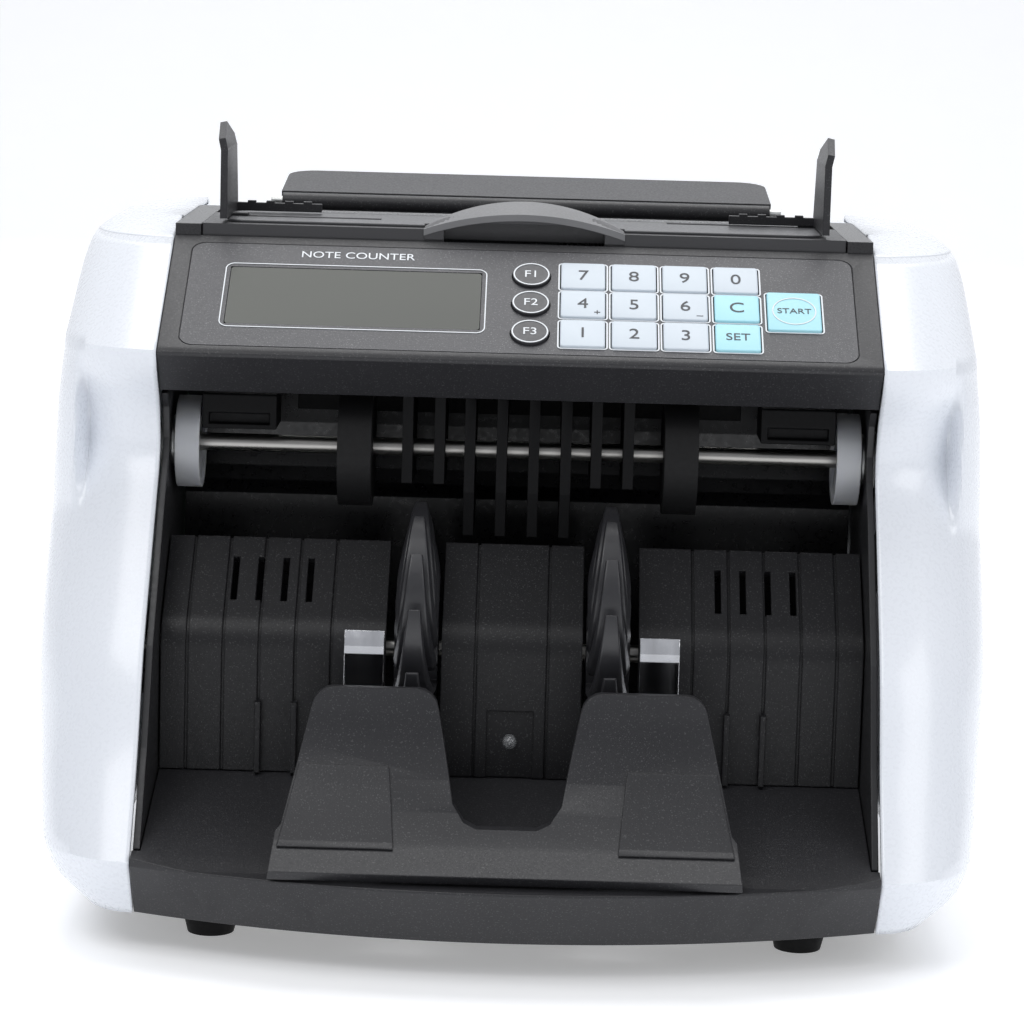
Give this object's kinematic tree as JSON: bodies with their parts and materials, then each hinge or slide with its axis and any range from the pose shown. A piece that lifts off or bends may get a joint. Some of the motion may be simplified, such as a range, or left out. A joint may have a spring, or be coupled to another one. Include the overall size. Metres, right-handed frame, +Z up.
{
  "type": "banknote counter",
  "caption": "Desktop banknote counter with a keypad and display panel, top hopper with sliding side guides and an open stacker tray.",
  "frame": {"origin": "on the table under the middle of the machine's bounding box", "axes": "+X to the operator's right, +Y to the rear, +Z up"},
  "size_m": [0.2666, 0.245, 0.2186],
  "materials": {
    "white_shell": "smooth glossy bluish white moulding",
    "black_moulding": "fine textured satin black",
    "charcoal_moulding": "fine sparkle texture, charcoal",
    "deck_satin": "satin dark grey",
    "panel_film": "fine textured printed film",
    "lcd_glass": "dark greenish grey window",
    "lcd_unit": "reflective display glass on its board",
    "circuit_board": "green solder mask with parts",
    "key_light": "pale grey silicone",
    "key_cyan": "pale cyan silicone",
    "key_dark": "charcoal with a white ring",
    "painted_steel": "black powder coat",
    "zinc_steel": "zinc plated",
    "ground_steel": "ground bright",
    "polished_steel": "polished",
    "nylon": "translucent white nylon",
    "roller_rubber": "black rubber",
    "back_gloss": "glossy black",
    "motor_can": "grey metal can",
    "core_steel": "varnished core and winding",
    "power_black": "black"
  },
  "bodies": {
    "machine": {"base_tray": "black_moulding", "bottom_plate": "zinc_steel", "left_side_plate": "painted_steel", "right_side_plate": "painted_steel", "left_side_cover": "white_shell", "right_side_cover": "white_shell", "rear_cover": "white_shell", "top_shoulders": "white_shell", "control_head": "charcoal_moulding", "panel_overlay": "panel_film", "lcd_window": "lcd_glass", "lcd_module": "lcd_unit", "keypad_board": "circuit_board", "hopper_frame": "charcoal_moulding", "hinge_pins": "zinc_steel", "cover_screws": "zinc_steel", "stack_plate": "black_moulding", "wear_strips": "polished_steel", "stacker_plate": "charcoal_moulding", "stacker_motor": "motor_can", "shaft_bearings": "zinc_steel", "rib_guide": "black_moulding", "back_guide": "back_gloss", "sensor_blocks": "black_moulding", "main_motor": "motor_can", "drive_belt": "roller_rubber", "main_board": "circuit_board", "transformer": "core_steel", "power_inlet": "power_black", "feet": "roller_rubber"},
    "lid": {"hopper_lid": "charcoal_moulding", "deck_plate": "deck_satin"},
    "left_guide": {"left_guide": "charcoal_moulding"},
    "right_guide": {"right_guide": "charcoal_moulding"},
    "guide_pinion": {"guide_pinion": "nylon"},
    "rear_support": {"rear_support": "charcoal_moulding"},
    "feed_roller": {"feed_shaft": "ground_steel", "feed_rollers": "roller_rubber", "end_discs": "nylon"},
    "pickup_roller": {"pickup_shaft": "ground_steel", "pickup_rollers": "roller_rubber"},
    "stacker": {"stacker_wheels": "black_moulding", "stacker_shaft": "ground_steel"},
    "power_switch": {"power_switch": "power_black"},
    "key_1": {"key_1": "key_light"},
    "key_2": {"key_2": "key_light"},
    "key_3": {"key_3": "key_light"},
    "key_set": {"key_set": "key_cyan"},
    "key_4": {"key_4": "key_light"},
    "key_5": {"key_5": "key_light"},
    "key_6": {"key_6": "key_light"},
    "key_c": {"key_c": "key_cyan"},
    "key_7": {"key_7": "key_light"},
    "key_8": {"key_8": "key_light"},
    "key_9": {"key_9": "key_light"},
    "key_0": {"key_0": "key_light"},
    "key_start": {"key_start": "key_cyan"},
    "key_f1": {"key_f1": "key_dark"},
    "key_f2": {"key_f2": "key_dark"},
    "key_f3": {"key_f3": "key_dark"}
  },
  "joints": [
    {"name": "lid_hinge", "type": "hinge", "parent": "machine", "child": "lid", "pos_m": [0, 0.0376, 0.187], "axis": [-1, 0, 0], "range_deg": [0, 60]},
    {"name": "right_guide_slide", "type": "slide", "parent": "lid", "child": "right_guide", "axis": [-1, 0, 0], "range_m": [-0.0015, 0.036]},
    {"name": "left_guide_slide", "type": "slide", "parent": "lid", "child": "left_guide", "axis": [1, 0, 0], "range_m": [-0.0021, 0.0361]},
    {"name": "pinion_turn", "type": "hinge", "parent": "lid", "child": "guide_pinion", "pos_m": [0, 0.0259, 0.184], "axis": [0, 0, 1], "range_deg": [-30, 350]},
    {"name": "rear_support_hinge", "type": "hinge", "parent": "machine", "child": "rear_support", "pos_m": [0, 0.069, 0.192], "axis": [1, 0, 0], "range_deg": [0, 62]},
    {"name": "feed_spin", "type": "hinge", "parent": "machine", "child": "feed_roller", "pos_m": [0, -0.02, 0.1295], "axis": [1, 0, 0], "continuous": true},
    {"name": "pickup_spin", "type": "hinge", "parent": "machine", "child": "pickup_roller", "pos_m": [0, 0.024, 0.16], "axis": [1, 0, 0], "continuous": true},
    {"name": "stacker_spin", "type": "hinge", "parent": "machine", "child": "stacker", "pos_m": [0, -0.04, 0.0755], "axis": [1, 0, 0], "continuous": true},
    {"name": "power_rocker", "type": "hinge", "parent": "machine", "child": "power_switch", "pos_m": [0.03, 0.1165, 0.048], "axis": [1, 0, 0], "range_deg": [-8, 8]},
    {"name": "key_1_press", "type": "slide", "parent": "machine", "child": "key_1", "axis": [0, 0.5205, -0.8539], "range_m": [0, 0.0006], "stiffness_N_per_m": 400},
    {"name": "key_2_press", "type": "slide", "parent": "machine", "child": "key_2", "axis": [0, 0.5205, -0.8539], "range_m": [0, 0.0006], "stiffness_N_per_m": 400},
    {"name": "key_3_press", "type": "slide", "parent": "machine", "child": "key_3", "axis": [0, 0.5205, -0.8539], "range_m": [0, 0.0006], "stiffness_N_per_m": 400},
    {"name": "key_set_press", "type": "slide", "parent": "machine", "child": "key_set", "axis": [0, 0.5205, -0.8539], "range_m": [0, 0.0006], "stiffness_N_per_m": 400},
    {"name": "key_4_press", "type": "slide", "parent": "machine", "child": "key_4", "axis": [0, 0.5205, -0.8539], "range_m": [0, 0.0006], "stiffness_N_per_m": 400},
    {"name": "key_5_press", "type": "slide", "parent": "machine", "child": "key_5", "axis": [0, 0.5205, -0.8539], "range_m": [0, 0.0006], "stiffness_N_per_m": 400},
    {"name": "key_6_press", "type": "slide", "parent": "machine", "child": "key_6", "axis": [0, 0.5205, -0.8539], "range_m": [0, 0.0006], "stiffness_N_per_m": 400},
    {"name": "key_c_press", "type": "slide", "parent": "machine", "child": "key_c", "axis": [0, 0.5205, -0.8539], "range_m": [0, 0.0006], "stiffness_N_per_m": 400},
    {"name": "key_7_press", "type": "slide", "parent": "machine", "child": "key_7", "axis": [0, 0.5205, -0.8539], "range_m": [0, 0.0006], "stiffness_N_per_m": 400},
    {"name": "key_8_press", "type": "slide", "parent": "machine", "child": "key_8", "axis": [0, 0.5205, -0.8539], "range_m": [0, 0.0006], "stiffness_N_per_m": 400},
    {"name": "key_9_press", "type": "slide", "parent": "machine", "child": "key_9", "axis": [0, 0.5205, -0.8539], "range_m": [0, 0.0006], "stiffness_N_per_m": 400},
    {"name": "key_0_press", "type": "slide", "parent": "machine", "child": "key_0", "axis": [0, 0.5205, -0.8539], "range_m": [0, 0.0006], "stiffness_N_per_m": 400},
    {"name": "key_start_press", "type": "slide", "parent": "machine", "child": "key_start", "axis": [0, 0.5205, -0.8539], "range_m": [0, 0.0006], "stiffness_N_per_m": 400},
    {"name": "key_f1_press", "type": "slide", "parent": "machine", "child": "key_f1", "axis": [0, 0.5205, -0.8539], "range_m": [0, 0.0006], "stiffness_N_per_m": 400},
    {"name": "key_f2_press", "type": "slide", "parent": "machine", "child": "key_f2", "axis": [0, 0.5205, -0.8539], "range_m": [0, 0.0006], "stiffness_N_per_m": 400},
    {"name": "key_f3_press", "type": "slide", "parent": "machine", "child": "key_f3", "axis": [0, 0.5205, -0.8539], "range_m": [0, 0.0006], "stiffness_N_per_m": 400}
  ],
  "couplings": [
    {"joint": "left_guide_slide", "follows": "right_guide_slide", "ratio": 1},
    {"joint": "pinion_turn", "follows": "right_guide_slide", "rad_per_m": 166.67},
    {"joint": "pickup_spin", "follows": "feed_spin", "ratio": 1}
  ]
}
